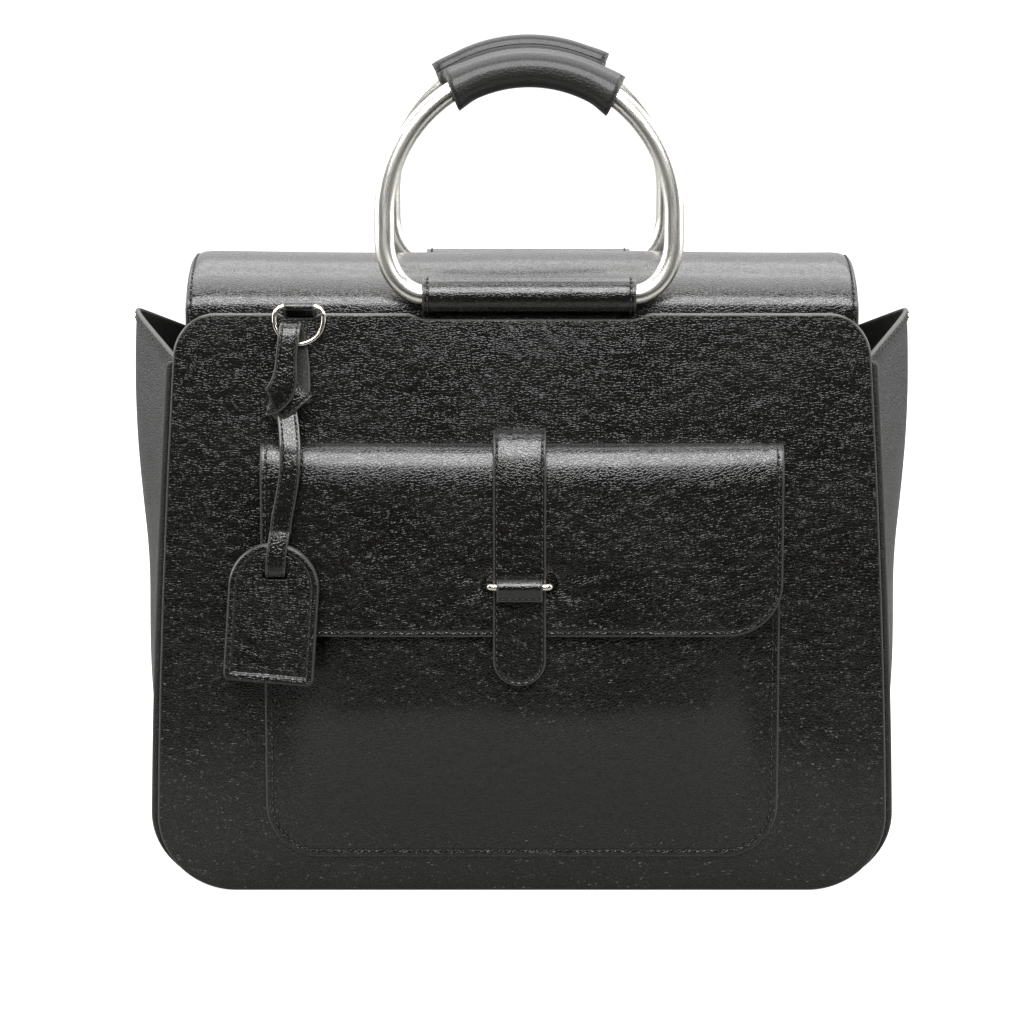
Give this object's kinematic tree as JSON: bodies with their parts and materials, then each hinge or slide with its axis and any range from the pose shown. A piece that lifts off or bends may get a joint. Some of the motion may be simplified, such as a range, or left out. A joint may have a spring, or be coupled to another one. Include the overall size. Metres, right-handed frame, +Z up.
{
  "type": "ring handle bag",
  "caption": "Structured leather top-handle handbag with metal ring handles, a tucked top flap, a front pocket with a staple closure, and a luggage tag on a D-ring.",
  "frame": {"origin": "middle of the bag's bounding box, on the surface that its base rests on", "axes": "+X to the right as the front is seen, -Y out of the front panel, +Z up"},
  "size_m": [0.316, 0.1234, 0.3372],
  "materials": {
    "leather": "semi-gloss pebbled black leather",
    "satin_metal": "satin, fine brushing along the tube",
    "pale_metal": "polished pale champagne plating"
  },
  "bodies": {
    "root": {"front_panel": "leather", "back_panel": "leather", "gusset": "leather", "top_flap": "leather", "front_handle_sleeve": "leather", "back_handle_sleeve": "leather", "pocket_body": "leather", "pocket_flap": "leather", "pocket_strap": "leather", "closure_staple": "pale_metal", "staple_wrap": "leather", "d_ring": "pale_metal", "d_ring_tab": "leather", "tag_strap": "leather", "luggage_tag": "leather"},
    "front_handle": {"front_handle_ring": "satin_metal", "front_handle_grip": "leather"},
    "back_handle": {"back_handle_ring": "satin_metal", "back_handle_grip": "leather"}
  },
  "joints": [
    {"name": "front_handle_swing", "type": "hinge", "parent": "root", "child": "front_handle", "pos_m": [0.0028, -0.03414, 0.2432], "axis": [1, 0, 0], "range_deg": [-17, 130]},
    {"name": "back_handle_swing", "type": "hinge", "parent": "root", "child": "back_handle", "pos_m": [0.0028, 0.05346, 0.2432], "axis": [-1, 0, 0], "range_deg": [-17, 130]}
  ]
}
